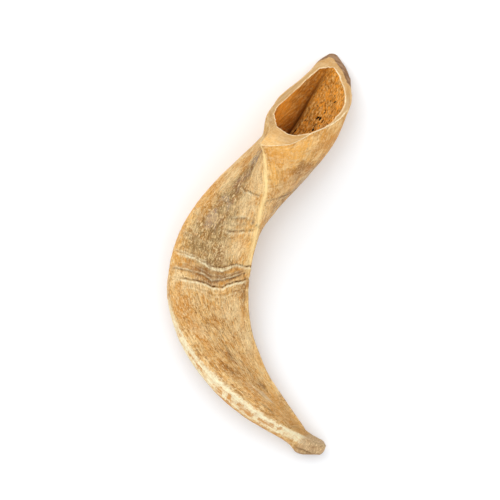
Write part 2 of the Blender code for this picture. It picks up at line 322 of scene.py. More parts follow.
wall_width = size_of(skin[0] - hollow[-1])[:, 0]
inner_steps = RIM_EDGE_STEPS[:, None] * np.ones(COLUMNS)
outer_steps = wall_width - RIM_EDGE_STEPS[::-1, None]
middle_steps = np.linspace(inner_steps[-1], outer_steps[0], RIM_MIDDLE_ROWS + 2)[1:-1]
from_inner = np.concatenate([inner_steps, middle_steps, outer_steps])
rim = hollow[-1:] + across_way * from_inner[..., None]

OUTER_ROUND = 0.7
INNER_ROUND = 0.42
ROUND_DROP = 0.3


def worn(distance, radius):
    """How far a worn edge is drawn back at a distance from it."""
    return ROUND_DROP * radius * np.clip(1.0 - distance / radius, 0.0, 1.0) ** 2


down_rim = -RIM_NORMAL / np.linalg.norm(RIM_NORMAL)
rim_drop = worn(from_inner, INNER_ROUND) + worn(wall_width - from_inner, OUTER_ROUND)
rim = rim + down_rim * rim_drop[..., None]
skin_run = (share * LENGTH)[: EDGE_ROWS + 2]
skin[: EDGE_ROWS + 2] -= across_way * worn(skin_run, OUTER_ROUND)[..., None]
skin[0] += down_rim * worn(0.0, OUTER_ROUND)
hollow[-1] += down_rim * worn(0.0, INNER_ROUND)

# The tip closes in a low dome.
last, before_last = skin[-1], skin[-2]
tip_centre = last.mean(axis=0)
ahead = tip_centre - before_last.mean(axis=0)
ahead = ahead / np.linalg.norm(ahead)
turns = (np.arange(1, TIP_ROWS + 1) / TIP_ROWS * math.pi / 2)[:, None, None]
tip = tip_centre + (last - tip_centre) * np.cos(turns) + ahead * TIP_REACH * np.sin(turns)

points = np.concatenate([hollow, rim, skin, tip])
ROWS = len(points)
HOLLOW = slice(0, len(hollow))
RIM = slice(len(hollow), len(hollow) + RIM_ROWS)
SKIN = slice(len(hollow) + RIM_ROWS, len(hollow) + RIM_ROWS + len(skin))
TIP = slice(SKIN.stop, ROWS)

# Where each point of the mesh lies: its station along the horn and its place around.
station = np.concatenate([
    hollow_share * STATIONS,
    np.zeros(rim.shape[:2]),
    share * STATIONS,
    np.full(tip.shape[:2], float(STATIONS)),
])
place = np.broadcast_to(column_places, station.shape)
on_skin, on_rim, in_hollow = np.zeros((3, ROWS, COLUMNS))
on_skin[SKIN.start:] = 1.0
on_rim[RIM] = 1.0
in_hollow[HOLLOW] = 1.0


def outward(grid):
    """The way out of the horn at each point of the mesh."""
    down = np.gradient(grid, axis=0)
    sideways = np.roll(grid, -1, axis=1) - np.roll(grid, 1, axis=1)
    way = np.cross(sideways, down)
    return way / np.maximum(size_of(way), 1e-12)


facing = outward(points)

# The grain runs along the horn. Its coordinates are a point on a straight round horn as thick as this one
# at that station, so that streaks meet all round and keep their width.
girth = np.concatenate([[0.0], np.cumsum(size_of(np.diff(middle, axis=0))[:, 0])])
turn_at = girth / girth[-1] * FULL_TURN
turn = np.interp(place, fine, turn_at)
ring = np.concatenate([points, points[:, :1]], axis=1)
radius = size_of(np.diff(ring, axis=1)).sum(axis=(1, 2))[:, None] / FULL_TURN
length = station / STATIONS * LENGTH
length[TIP] += TIP_REACH * np.sin(turns[..., 0])


def on_straight_horn(radius, length):
    """Where each point would lie on a straight round horn of that radius, so far along it."""
    return np.stack([np.cos(turn) * radius, np.sin(turn) * radius, length], axis=-1)


grain = on_straight_horn(radius, length)

# For the fibres the horn counts as equally thick all along, so that they run straight to the tip.
FIBRE_RADIUS = 17.0
fibre_grain = on_straight_horn(FIBRE_RADIUS, length)

# Places around are counted both ways from the keel side: plus over the top, minus down the side face.
signed_place = np.where(place > CONTROLS / 2, place - CONTROLS, place)


def lumps(size, seed):
    """Smooth lumps from -1 to 1 over the whole mesh, of a size across and one along the grain."""
    stretched = grain / np.array((size[0], size[0], size[1])) + seed
    return np.array([noise.noise(point) for point in stretched.reshape(-1, 3)]).reshape(station.shape)


# Growth creases cross the horn. Each has a path of places around and the station where it lies, the depth
# and width of its groove, and the rise and reach of its two banks, the one toward the base first.
CREASES = (
    (((0.2, 5.28), (1.75, 5.11), (2.1, 4.98), (2.4, 4.87), (2.75, 4.88), (3.1, 4.94), (3.6, 4.93)),
     0.5, 0.4, 0.0, 1.0, 0.35, 1.0),
    (((1.9, 5.12), (2.1, 5.05), (2.4, 4.96), (2.7, 5.02), (3.0, 5.08), (3.4, 5.07), (3.9, 5.02),
      (4.6, 4.9)),
     0.0, 0.4, 0.75, 3.0, 0.0, 1.0),
    (((3.3, 5.00), (3.9, 4.93), (4.6, 4.80), (5.3, 4.62)), 0.15, 0.4, 0.3, 1.6, 0.0, 1.0),
    (((2.0, 5.32), (2.3, 5.35), (2.8, 5.37), (3.3, 5.45), (3.6, 5.42), (4.0, 5.45), (4.9, 5.38)),
     0.3, 0.45, 0.35, 1.5, 0.0, 1.0),
    (((2.0, 5.21), (2.5, 5.24), (3.0, 5.27), (3.7, 5.30), (4.4, 5.22)), 0.2, 0.4, 0.15, 1.0, 0.1, 1.0),
    (((1.6, 5.6), (2.0, 5.56), (2.4, 5.53), (2.7, 5.55), (2.9, 5.61), (3.25, 5.62), (3.5, 5.64),
      (4.0, 5.70), (4.6, 5.70)),
     0.6, 0.42, 0.1, 1.0, 0.5, 1.5),
    (((2.1, 5.86), (2.9, 5.90), (3.8, 5.95), (4.4, 5.90)), 0.15, 0.4, 0.0, 1.0, 0.15, 1.2),
    (((2.4, 6.00), (3.1, 6.05), (3.7, 6.06)), 0.1, 0.4, 0.0, 1.0, 0.1, 1.2),
    (((1.8, 2.57), (2.25, 2.41), (2.8, 2.27), (3.0, 2.10)), 0.35, 0.4, 0.0, 1.0, 0.3, 2.0),
    (((1.7, 3.05), (2.2, 2.98), (2.7, 2.90)), 0.1, 0.4, 0.1, 1.0, 0.1, 1.0),
    (((2.0, 3.42), (2.6, 3.26), (3.0, 3.20)), 0.3, 0.4, 0.35, 1.6, 0.0, 1.0),
    (((1.9, 3.56), (2.6, 3.44), (3.0, 3.38)), 0.12, 0.35, 0.12, 1.0, 0.0, 1.0),
    (((1.8, 3.75), (2.6, 3.62), (3.1, 3.54)), 0.35, 0.4, 0.1, 1.0, 0.25, 1.5),
    (((-3.6, 2.10), (-3.0, 2.20), (-1.8, 2.47), (-0.7, 2.70), (0.6, 2.86)),
     0.3, 0.6, 0.06, 2.5, 0.08, 2.5),
    (((-2.6, 1.55), (-1.6, 1.80), (-0.4, 2.05), (0.5, 2.12)), 0.08, 0.6, 0.1, 2.5, 0.1, 2.5),
    (((4.2, 3.30), (5.0, 3.05), (5.8, 2.90)), 0.1, 0.5, 0.15, 2.0, 0.1, 2.0),
    (((4.2, 4.20), (5.0, 3.98), (5.8, 3.80)), 0.12, 0.5, 0.2, 2.0, 0.1, 2.0),
    (((-6.8, 3.40), (-5.0, 3.42), (-3.2, 3.46)), 0.3, 0.7, 0.2, 2.0, 0.2, 2.0),
    (((-7.4, 5.10), (-5.0, 5.15), (-2.5, 5.22), (0.2, 5.28)), 0.3, 0.5, 0.06, 2.0, 0.14, 2.0),
    (((-7.4, 5.66), (-5.0, 5.62), (-2.5, 5.60), (1.2, 5.62)), 0.3, 0.5, 0.06, 2.0, 0.14, 2.0),
    (((-6.8, 7.90), (-4.5, 7.95), (-2.0, 8.02)), 0.2, 0.6, 0.15, 2.0, 0.15, 2.0),
)
CREASE_FADE = 0.3


def crease_at(path):
    """How far toward the tip each point lies from a crease, in millimetres, and how much it counts."""
    places, stations = np.array(path).T
    part_way = np.interp(signed_place, places, np.linspace(0.0, 1.0, len(places)))
    ahead = (station - along(stations, part_way)) / STATIONS * LENGTH
    counts = eased(signed_place, places[0] - CREASE_FADE, places[0] + CREASE_FADE)
    counts = counts * (1.0 - eased(signed_place, places[-1] - CREASE_FADE, places[-1] + CREASE_FADE))
    return ahead, counts * on_skin


def bell(distance, width):
    """1 at no distance, falling off smoothly to about a third at the width."""
    return np.exp(-((distance / width) ** 2))


# Creases wander a little and are stronger in some spots than in others. The deeper ones get painted shade
# in the groove, and the top of a high bank gets a painted highlight: past the groove on the tip's side, and
# right beside it on the base's side.
BANK_STRENGTH, GROOVE_STRENGTH = 0.8, 0.6
DARK_DEPTH = 0.4
LIP_AWAY, CREST_AWAY, HIGHLIGHT_WIDTH = 0.45, 0.1, 0.5
LIP_RISE, CREST_RISE = 0.35, 0.45
crease_relief, painted_crease_shade_and_dark_lines, painted_lip_highlight = np.zeros((3, ROWS, COLUMNS))
wander = lumps((4.0, 30.0), 3.7) * 0.5 + lumps((1.3, 20.0), 4.7) * 0.28
strength = np.clip(1.0 + lumps((3.0, 9.0), 13.9) * 0.7 + lumps((1.1, 3.0), 17.9) * 0.5, 0.0, 1.6)
for path, depth, width, back_rise, back_reach, ahead_rise, ahead_reach in CREASES:
    distance, counts = crease_at(path)
    distance = distance + wander
    counts = counts * strength
    groove = bell(distance, width)
    tipward = distance >= 0.0
    reach = np.where(tipward, ahead_reach, back_reach)
    bank = np.where(tipward, ahead_rise, back_rise) * bell(distance, reach)
    crease_relief += counts * (bank * (1.0 - groove) * BANK_STRENGTH - depth * GROOVE_STRENGTH * groove)
    painted_crease_shade_and_dark_lines = np.maximum(painted_crease_shade_and_dark_lines, counts * groove * min(depth / DARK_DEPTH, 1.0))
    lip = bell(distance - width - LIP_AWAY, HIGHLIGHT_WIDTH) * ahead_rise / LIP_RISE
    crest = bell(distance + width + CREST_AWAY, HIGHLIGHT_WIDTH) * back_rise / CREST_RISE
    painted_lip_highlight = np.maximum(painted_lip_highlight, counts * np.maximum(lip, crest))


def lies_in(value, start, end, blur):
    """1 from start to end, fading out over blur on both sides."""
    return eased(value, start - blur, start + blur) * (1.0 - eased(value, end - blur, end + blur))


# Thin lines that cross the grain: scratches, chips and cracks, and one painted highlight among the light
# lines, each with a path of places and stations, a width in millimetres and a strength.
LINE_STRENGTH = 0.75
LIGHT_LINES = (
    (((4.5, 2.02), (3.9, 2.30), (3.58, 2.53)), 0.4, 0.7),
    (((4.08, 2.70), (3.83, 2.90), (3.83, 3.23), (4.0, 3.4)), 0.4, 0.8),
    (((3.25, 2.61), (3.33, 2.95), (3.4, 3.3)), 0.35, 0.6),
    (((4.25, 3.91), (4.0, 4.15), (3.67, 4.26), (3.3, 4.28)), 0.4, 0.9),
    (((5.5, 4.57), (5.0, 4.76), (4.5, 4.95), (4.0, 5.0)), 0.5, 1.0),
    (((4.58, 5.69), (4.42, 5.80), (3.9, 5.84)), 0.4, 0.8),
    # This one is a painted highlight.
    (((2.67, 3.16), (2.58, 3.11), (2.42, 3.07)), 0.6, 1.3),
    (((2.9, 3.10), (3.1, 3.02), (3.1, 2.86)), 0.4, 0.9),
    (((2.08, 3.34), (1.83, 3.54), (1.5, 3.66)), 0.45, 1.4),
    (((2.2, 4.16), (2.3, 4.36), (2.35, 4.52)), 0.5, 0.7),
    (((2.2, 8.65), (2.7, 8.95), (3.2, 9.2)), 0.35, 0.8),
    (((2.1, 9.0), (2.6, 8.85), (3.1, 8.7)), 0.35, 0.7),
    (((1.7, 7.3), (2.1, 7.6), (2.4, 8.0)), 0.35, 0.6),
    (((2.4, 7.0), (2.9, 7.25), (3.3, 7.35)), 0.35, 0.5),
    (((4.6, 9.3), (4.2, 9.35), (3.9, 9.3)), 0.4, 0.8),
    (((4.9, 7.4), (4.4, 7.7), (4.0, 8.1)), 0.4, 0.7),
    (((5.1, 6.4), (4.7, 6.9), (4.6, 7.3)), 0.45, 0.7),
    (((3.9, 10.3), (3.4, 10.7), (3.0, 11.2)), 0.35, 0.6),
    (((-0.6, 1.2), (-1.0, 1.7), (-1.7, 2.3)), 0.4, 0.6),
    (((-2.2, 0.8), (-2.3, 1.4), (-2.7, 2.1)), 0.45, 0.6),
)
DARK_LINES = (
    (((2.0, 3.42), (1.8, 3.62), (1.42, 3.76)), 0.4, 1.2),
    (((3.0, 2.1), (2.7, 2.3), (2.2, 2.43), (1.8, 2.58)), 0.35, 0.8),
    (((3.7, 7.9), (3.75, 8.3), (3.8, 8.6)), 0.5, 0.7),
    (((4.55, 8.6), (4.5, 8.9), (4.4, 9.05)), 0.6, 0.9),
    (((3.3, 8.3), (3.2, 8.55), (3.25, 8.8)), 0.55, 1.0),
    (((3.0, 9.0), (2.9, 9.2), (2.95, 9.35)), 0.6, 1.0),
    (((4.75, 10.0), (4.6, 10.2), (4.5, 10.5)), 0.5, 0.8),
    (((1.83, 5.7), (1.8, 5.96), (1.83, 6.26)), 0.8, 0.8),
    (((1.83, 5.33), (1.8, 5.42)), 0.6, 1.2),
    (((1.75, 5.48), (1.7, 5.52)), 0.5, 1.0),
)
skin_station = station[SKIN, 0]
skin_radius = radius[SKIN, 0]


def flat_position(places, stations):
    """A place on the horn as millimetres around and along it."""
    thick = np.interp(stations, skin_station, skin_radius)
    whole = np.where(places < 0.0, places + CONTROLS, places)
    angle = np.interp(whole, fine, turn_at)
    angle = np.where(places < 0.0, angle - FULL_TURN, angle)
    return np.stack([angle * thick, stations / STATIONS * LENGTH], axis=-1)


flat = flat_position(signed_place, station)
flat = flat + np.stack([lumps((1.5, 3.0), 61.3), lumps((1.5, 3.0), 66.1)], axis=-1) * 0.7
broken = np.clip(0.75 + lumps((0.9, 1.3), 71.7) * 1.7, 0.0, 1.4)


def drawn(lines):
    """How strongly any of these lines marks each point."""
    shown = np.zeros(station.shape)
    for path, width, amount in lines:
        bends = flat_position(*np.array(path).T)
        for start, end in zip(bends, bends[1:]):
            way = end - start
            reached = np.clip(((flat - start) @ way) / (way @ way), 0.0, 1.0)[..., None]
            distance = size_of(flat - start - way * reached)[..., 0]
            shown = np.maximum(shown, amount * bell(distance, width))
    return shown * broken * LINE_STRENGTH * on_skin


line_light = drawn(LIGHT_LINES)
line_dark = drawn(DARK_LINES)

# Larger patches of colour: place, station, reach around in places, reach along in stations, strength.
HONEY_PATCHES = (
    (4.3, 2.9, 0.5, 0.5, 1.0), (4.4, 2.2, 0.5, 0.45, 1.0), (5.2, 4.1, 0.6, 0.5, 1.0),
    (4.9, 4.8, 0.5, 0.4, 0.9), (4.9, 6.6, 0.6, 0.6, 1.0), (5.2, 7.0, 0.4, 0.3, 0.8),
    (4.7, 7.7, 0.4, 0.6, 1.0), (2.9, 9.9, 0.8, 0.5, 1.0), (2.9, 8.3, 0.4, 0.3, 1.0),
    (2.3, 4.05, 0.3, 0.4, 0.8), (4.5, 9.7, 0.5, 0.4, 1.0), (1.9, 6.25, 0.35, 0.3, 1.0),
    (2.7, 12.2, 0.8, 0.5, 1.0), (1.6, 8.3, 0.4, 0.8, 0.9), (-0.5, 0.7, 0.8, 0.6, 1.0),
    (-1.2, 1.7, 0.8, 0.5, 0.8), (4.6, 8.7, 0.45, 0.6, 0.8), (3.4, 10.7, 1.1, 1.3, 0.9),
    (4.0, 9.4, 0.6, 0.5, 0.7), (3.4, 12.0, 1.0, 0.7, 0.9), (1.6, 5.8, 0.35, 0.6, 0.9),
    (3.8, 1.5, 0.4, 0.4, 0.8), (-2.4, 0.5, 0.8, 0.5, 0.5), (2.1, 6.4, 0.25, 0.6, 0.8),
    (8.0, 3.0, 1.2, 0.9, 0.8), (9.5, 6.5, 1.4, 1.2, 0.8), (11.5, 4.5, 1.3, 1.0, 0.8),
    (12.5, 8.5, 1.5, 1.4, 0.8),
)
PALE_PATCHES = (
    (2.2, 1.7, 0.6, 0.7, 1.0), (2.5, 2.6, 0.5, 0.6, 1.0), (2.7, 6.5, 0.6, 0.45, 1.0),
    (3.8, 0.8, 0.5, 0.5, 0.9), (4.5, 1.7, 0.4, 0.4, 0.7), (2.9, 3.5, 0.35, 0.4, 0.9),
    (2.6, 4.3, 0.6, 0.45, 0.9), (4.4, 3.4, 0.3, 0.3, 0.8), (5.1, 3.5, 0.4, 0.35, 0.9),
    (3.9, 1.9, 0.35, 0.4, 0.9), (2.2, 7.6, 0.6, 0.9, 0.9), (2.2, 8.6, 0.35, 0.4, 0.7),
    (3.7, 9.6, 0.35, 0.3, 0.9), (4.0, 5.9, 0.6, 0.25, 0.6), (1.9, 9.6, 0.5, 0.5, 0.7),
    (4.3, 1.0, 0.4, 0.5, 0.7), (-2.2, 2.0, 0.8, 0.5, 0.6), (4.7, 5.6, 0.35, 0.4, 0.8),
    (4.5, 7.6, 0.4, 0.3, 0.8), (10.0, 3.0, 1.2, 0.8, 0.7), (8.5, 5.5, 1.2, 0.8, 0.7),
    (12.5, 6.5, 1.4, 0.9, 0.7), (10.5, 9.5, 1.6, 1.2, 0.7),
)
GOLD_PATCHES = (
    (-0.7, 0.6, 1.0, 0.7, 1.0), (0.1, 1.5, 0.5, 0.9, 0.7), (1.9, 3.9, 0.35, 0.9, 0.7),
    (4.9, 4.2, 0.5, 0.7, 0.6), (5.3, 6.2, 0.5, 0.8, 0.6), (4.7, 3.2, 0.6, 0.9, 1.0),
    (3.3, 9.9, 0.9, 0.6, 0.6), (8.5, 1.5, 1.0, 0.9, 0.6), (4.9, 4.9, 0.5, 0.5, 0.9),
    (2.3, 9.0, 0.7, 1.2, 0.8), (2.0, 11.0, 0.7, 1.0, 0.8), (4.6, 2.3, 0.4, 0.5, 0.8),
)
VIOLET_PATCHES = (
    (3.0, 1.2, 0.4, 0.3, 0.9), (3.15, 1.95, 0.3, 0.25, 0.9), (3.35, 2.7, 0.3, 0.3, 0.8),
    (3.7, 3.4, 0.4, 0.3, 0.7), (-2.9, 2.15, 0.8, 0.6, 1.0), (-2.8, 3.0, 0.8, 0.6, 0.7),
    (3.7, 9.6, 0.4, 0.3, 0.8), (3.2, 5.5, 1.2, 0.25, 0.4),
)
# The brown patches are partly painted shade: on the side face near the base, where it turns away, and in
# the recess between the growth ledges. The rest are brown patches of the horn.
BROWN_AND_SHADE_PATCHES = (
    (-1.7, 1.4, 0.6, 0.5, 1.0), (-2.6, 2.0, 0.8, 0.8, 1.0), (-1.6, 2.6, 0.8, 0.3, 0.7),
    (3.15, 1.9, 0.4, 0.6, 0.8), (3.3, 5.30, 1.4, 0.2, 1.0), (2.3, 5.38, 0.5, 0.2, 1.0),
    (3.0, 5.12, 0.9, 0.12, 1.0), (1.3, 5.8, 0.4, 0.3, 1.0), (-2.9, 1.9, 0.7, 0.5, 0.8),
    (-1.3, 2.9, 0.6, 0.3, 0.9), (3.0, 4.5, 0.6, 0.3, 0.7), (3.7, 8.4, 0.5, 0.4, 0.7),
    (4.5, 8.9, 0.4, 0.35, 0.8), (3.1, 6.8, 0.9, 0.4, 0.5), (3.1, 9.1, 0.35, 0.35, 0.9),
    (-3.0, 2.8, 1.2, 0.5, 0.7), (3.9, 7.3, 0.5, 0.4, 0.5), (1.9, 6.1, 0.35, 0.4, 1.0),
    (1.2, 5.55, 0.5, 0.2, 0.7), (3.9, 11.2, 0.5, 0.5, 0.5), (11.0, 6.5, 1.2, 0.7, 0.6),
    (9.0, 8.5, 1.2, 0.9, 0.6),
)
BAND_SPOTS = (
    (6.25, 9.04, 0.35, 0.20, 1.0), (6.17, 9.52, 0.35, 0.16, 1.0), (6.1, 10.0, 0.35, 0.17, 1.0),
    (5.95, 10.6, 0.35, 0.2, 1.0), (5.6, 11.2, 0.35, 0.18, 1.0), (6.3, 8.3, 0.3, 0.15, 0.8),
    (6.9, 9.3, 0.4, 0.3, 0.7), (6.8, 10.4, 0.4, 0.3, 0.7), (6.9, 11.4, 0.5, 0.4, 0.8),
    (6.5, 7.3, 0.3, 0.2, 0.6), (5.3, 12.0, 0.3, 0.12, 0.7), (4.9, 13.2, 0.3, 0.15, 0.8),
    (4.6, 12.7, 0.3, 0.1, 0.6),
)
ragged_place = place + lumps((3.0, 6.0), 81.3) * 0.35
ragged_station = station + lumps((3.0, 6.0), 86.9) * 0.4


def patched(patches):
    """How strongly any of these patches covers each point."""
    shown = np.zeros(station.shape)
    for centre, along_at, around_reach, along_reach, amount in patches:
        turned = (ragged_place - centre + CONTROLS / 2) % CONTROLS - CONTROLS / 2
        distance = (turned / around_reach) ** 2 + ((ragged_station - along_at) / along_reach) ** 2
        shown = np.maximum(shown, amount * np.exp(-distance))
    return shown * on_skin


honey = patched(HONEY_PATCHES)
pale = patched(PALE_PATCHES)
gold = patched(GOLD_PATCHES)
violet = patched(VIOLET_PATCHES)
brown_and_shade = patched(BROWN_AND_SHADE_PATCHES)
band_brown = patched(BAND_SPOTS)

# The grey valley beside the keel, the pale keel and the cream band down the back edge depend on the place
# alone.
VALLEY_LINE = ((0.4, 2.6), (1.1, 2.95), (1.9, 3.25), (2.7, 3.35), (3.5, 3.65), (4.3, 3.65), (5.2, 3.4))
valley_line = np.interp(station, *np.array(VALLEY_LINE).T)
valley_width = np.interp(station, (0.4, 1.1, 2.2, 3.5, 5.2), (0.30, 0.42, 0.6, 0.95, 1.2))
valley_grey = bell(signed_place - valley_line, valley_width)
valley_grey = valley_grey * eased(station, 0.2, 1.7) * (1.0 - eased(station, 4.7, 5.6)) * on_skin
keel_width = np.interp(station, (0.0, 1.0, 3.0, 6.0, 9.0), (0.34, 0.30, 0.36, 0.40, 0.45))
keel_centre = np.interp(station, (0.0, 2.6, 3.5, 5.0), (1.05, 1.05, 1.4, 1.4))
keel_pale = bell(signed_place - keel_centre, keel_width) * on_skin
keel_pale = keel_pale * (1.0 - 0.75 * eased(station, 3.8, 6.5)) * (1.0 - eased(station, 8.5, 10.0))
keel_pale = keel_pale * (1.0 - 0.7 * lies_in(station, 5.4, 6.1, 0.2))
BAND_START = (
    (4.6, 6.3), (6.2, 5.85), (7.3, 5.75), (8.4, 5.7), (8.9, 5.5), (9.9, 5.3), (11.0, 5.1), (12.1, 4.5),
    (14.0, 3.9),
)
band_start = np.interp(station, *np.array(BAND_START).T)
edge_cream = lies_in(place, band_start + 0.1, band_start + 1.35, 0.35)
edge_cream = edge_cream * eased(station, 4.8, 7.4) * on_skin
# A low ridge along the band's inner edge: raised in the relief and given a painted highlight in cream.
band_ridge_with_highlight = bell(place - band_start - 0.3, 0.2) * eased(station, 6.0, 8.0) * on_skin

# At the tip the horn ends in a blunt nub with a slab below it, and a groove between the two, darkened
# with painted shade.
nub = eased(station, 12.35, 13.1) * on_skin
nub_under = nub * lies_in(place, 6.5, 11.5, 0.3)
groove_line = np.interp(station, (12.4, 12.6, 13.2, 13.6, 13.9), (6.3, 6.15, 6.1, 6.45, 7.1))
nub_groove = nub * bell(place - groove_line, 0.13) * (1.0 - eased(station, 13.5, 13.9))

# Fibres show most below the ledges, and less on the side face near the base, on the back and between the
# ledges. On the cream band the dark ones hardly show.
streaky = np.clip(eased(station, 5.6, 6.6), 0.3, 1.0)
streaky = streaky * (1.0 - 0.6 * nub)
fibrous = 1.0 - 0.5 * lies_in(signed_place, -4.2, 0.6, 0.3) * (1.0 - eased(station, 2.2, 3.0))
fibrous = fibrous * (1.0 - 0.3 * lies_in(place, 5.3, 12.0, 0.8) * (1.0 - eased(station, 3.0, 6.0)))
fibrous = fibrous * (1.0 - 0.65 * lies_in(station, 5.02, 5.52, 0.08) * lies_in(place, 1.6, 4.6, 0.3))
off_band = 1.0 - 0.8 * edge_cream

# The relief of the skin in millimetres. Beside the notch at the base the skin is drawn in, and near the
# tip all the relief is lower.
tip_fade = 1.0 - eased(station, 13.0, 14.0) * 0.7
tucked = lies_in(place, 2.9, 5.6, 0.6) * lies_in(station, 0.5, 1.0, 0.45)
growth_rings = lumps((30.0, 1.1), 8.9) * 0.5 + lumps((14.0, 2.6), 9.9)
skin_relief = (
    crease_relief
    + band_ridge_with_highlight * 0.35
    + lumps((9.0, 16.0), 11.3) * 0.30
    + lumps((4.0, 9.0), 16.3) * 0.14
    + lumps((1.6, 9.0), 5.1) * 0.07 * streaky
    + lumps((0.9, 3.0), 6.1) * 0.05
    + growth_rings * 0.09
    + lumps((1.4, 2.2), 21.7) * 0.07 * (1.2 - streaky)
    + pale * 0.06
    - band_brown * 0.10
    - nub_groove * 0.7
    - line_dark * 0.12
    + line_light * 0.04
    - tucked * 1.5
) * tip_fade

# The wall of the hollow is smooth toward the keel and rough and pitted where the core grew against it. A
# pit has a place, a station and a size in millimetres, and is a little longer than it is wide.
PIT_SQUEEZE = 0.8
PITS = (
    (8.92, 0.85, 0.65), (8.92, 0.27, 0.45), (9.42, 0.40, 0.45), (9.0, 0.69, 0.45), (8.75, 0.88, 0.4),
    (9.17, 0.9, 0.5), (7.83, 1.26, 0.75), (8.92, 1.10, 0.6), (9.0, 0.45, 0.4), (10.42, 0.42, 0.4),
    (9.8, 0.75, 0.45), (10.6, 0.8, 0.4), (8.4, 1.05, 0.5), (8.3, 0.7, 0.35), (8.1, 1.0, 0.5),
    (8.6, 1.35, 0.5), (9.5, 1.2, 0.5),
)
rough_wall = np.maximum(eased(place, 7.1, 7.5), 0.7 * eased(place, 4.4, 6.0))
rough_wall = in_hollow * rough_wall * (1.0 - eased(place, 12.6, 13.6))
# Painted shade lies along the deepest crease of the hollow, reaching further toward the shoulder and fading
# out toward the rim, and a broader painted shade lies around it.
DEEPEST_AT = 6.95
crease_reach = np.where(place < DEEPEST_AT, 0.75, 0.28)
hollow_crease_shade = in_hollow * bell(place - DEEPEST_AT, crease_reach) * eased(station, 0.1, 1.0)
hollow_shade = in_hollow * bell(place - 6.8, 1.3)
pit_dark = np.zeros(station.shape)
for pit_place, pit_station, size in PITS:
    around_mm = (place - pit_place) * girth[-1] / CONTROLS
    along_mm = (station - pit_station) / STATIONS * LENGTH
    pit_dark = np.maximum(pit_dark, bell(np.hypot(around_mm, along_mm * PIT_SQUEEZE), size))
pit_dark = pit_dark * in_hollow
crumbs = lumps((1.1, 1.3), 31.0) * 0.34 + lumps((3.0, 4.0), 35.0) * 0.35
hollow_relief = rough_wall * crumbs - pit_dark * 0.5 + in_hollow * lumps((2.2, 30.0), 41.0) * 0.07

# The base was sawn, and the saw and wear left the rim nearly flat.
rim_relief = on_rim * (lumps((1.5, 1.5), 51.0) * 0.05 + lumps((5.0, 5.0), 55.0) * 0.15)
rim_fade = np.where(on_rim > 0, 1.0, eased(station, 0.0, 0.25))
points = points + facing * ((on_skin * skin_relief + hollow_relief + rim_relief) * rim_fade)[..., None]

# On the rim, the colours depend on how far a point is from both edges and where around it lies. The
# weathered bark reaches as far in from the outer edge as rim_bark says, in millimetres.
RIM_GRAIN_RADIUS = 5.0
from_edges = np.zeros((ROWS, COLUMNS, 2))
from_edges[RIM, :, 0] = from_inner
from_edges[RIM, :, 1] = wall_width - from_inner
from_edges[SKIN, :, 0] = wall_width
from_edges[HOLLOW, :, 1] = wall_width
rim_layers = on_straight_horn(RIM_GRAIN_RADIUS, from_edges[..., 0])
rim_bark = np.interp(place, (5.9, 6.3, 6.9, 7.6, 8.6, 9.4, 10.1), (-1.0, 1.3, 2.6, 2.9, 2.6, 2.1, -1.0))
rim_grey = np.maximum(lies_in(place, 3.2, 5.9, 0.5), lies_in(place, 10.2, 13.4, 0.5))
keel_corner = skin[0, np.abs(column_places - KEEL_AT).argmin()]
rim_orange = 1.0 - eased(size_of(points - keel_corner)[..., 0], 3.0, 13.0)
# The painted highlight along the rim's outer edge runs in full on the side face and keel, faintly
# elsewhere, and not on the bark.
rim_glint = np.maximum(lies_in(signed_place, -3.6, 1.2, 0.3), 0.3) * (rim_bark < 0.5)

# The mesh starts as a flat sheet of squares that is rolled up along the horn, and it is then moved to
# stand where the solid stands, in metres.
bpy.ops.object.select_all(action="DESELECT")
bpy.ops.mesh.primitive_grid_add(x_subdivisions=COLUMNS, y_subdivisions=ROWS - 1, size=1.0)
horn = bpy.context.object
horn.name = "sheep_horn"
horn.data.name = "sheep_horn"
sheet = np.zeros(len(horn.data.vertices) * 3)
horn.data.vertices.foreach_get("co", sheet)
sheet = sheet.reshape(-1, 3)
column = np.rint((sheet[:, 0] + 0.5) * COLUMNS).astype(int) % COLUMNS
row = np.rint((sheet[:, 1] + 0.5) * (ROWS - 1)).astype(int)

own_low, own_high = points.reshape(-1, 3).min(axis=0), points.reshape(-1, 3).max(axis=0)
box_low, box_high = (np.array(end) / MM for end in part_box("horn"))
footing = (box_low + box_high) / 2 - (own_low + own_high) / 2
footing[2] = box_low[2] - own_low[2]
horn.data.vertices.foreach_set("co", ((points + footing) * MM)[row, column].ravel())


def keep_on_points(name, values):
    """Keeps a value or vector for each point of the mesh, for the materials to read."""
    kind = "FLOAT" if values.ndim == 2 else "FLOAT_VECTOR"
    attribute = horn.data.attributes.new(name, kind, "POINT")
    flat_values = values[row, column].astype(np.float32).ravel()
    attribute.data.foreach_set("value" if values.ndim == 2 else "vector", flat_values)


for name, values in (
    ("grain", grain), ("fibre_grain", fibre_grain), ("rim_layers", rim_layers),
    ("valley_grey", valley_grey), ("keel_pale", keel_pale), ("edge_cream", edge_cream),
    ("band_ridge_with_highlight", band_ridge_with_highlight), ("band_brown", band_brown), ("off_band", off_band),
    ("honey", honey), ("pale", pale), ("gold", gold), ("violet", violet), ("brown_and_shade", brown_and_shade),
    ("streaky", streaky), ("fibrous", fibrous),
    ("nub", nub), ("nub_under", nub_under), ("nub_groove", nub_groove),
    ("painted_crease_shade_and_dark_lines", np.maximum(painted_crease_shade_and_dark_lines, line_dark)), ("painted_lip_highlight", painted_lip_highlight),
    ("line_light", line_light),
    ("rough_wall", rough_wall), ("hollow_crease_shade", hollow_crease_shade), ("hollow_shade", hollow_shade),
    ("pit_dark", pit_dark), ("from_inner", from_edges[..., 0]), ("from_outer", from_edges[..., 1]),
    ("rim_bark", rim_bark), ("rim_grey", rim_grey), ("rim_orange", rim_orange), ("rim_glint", rim_glint),
):
    keep_on_points(name, values)

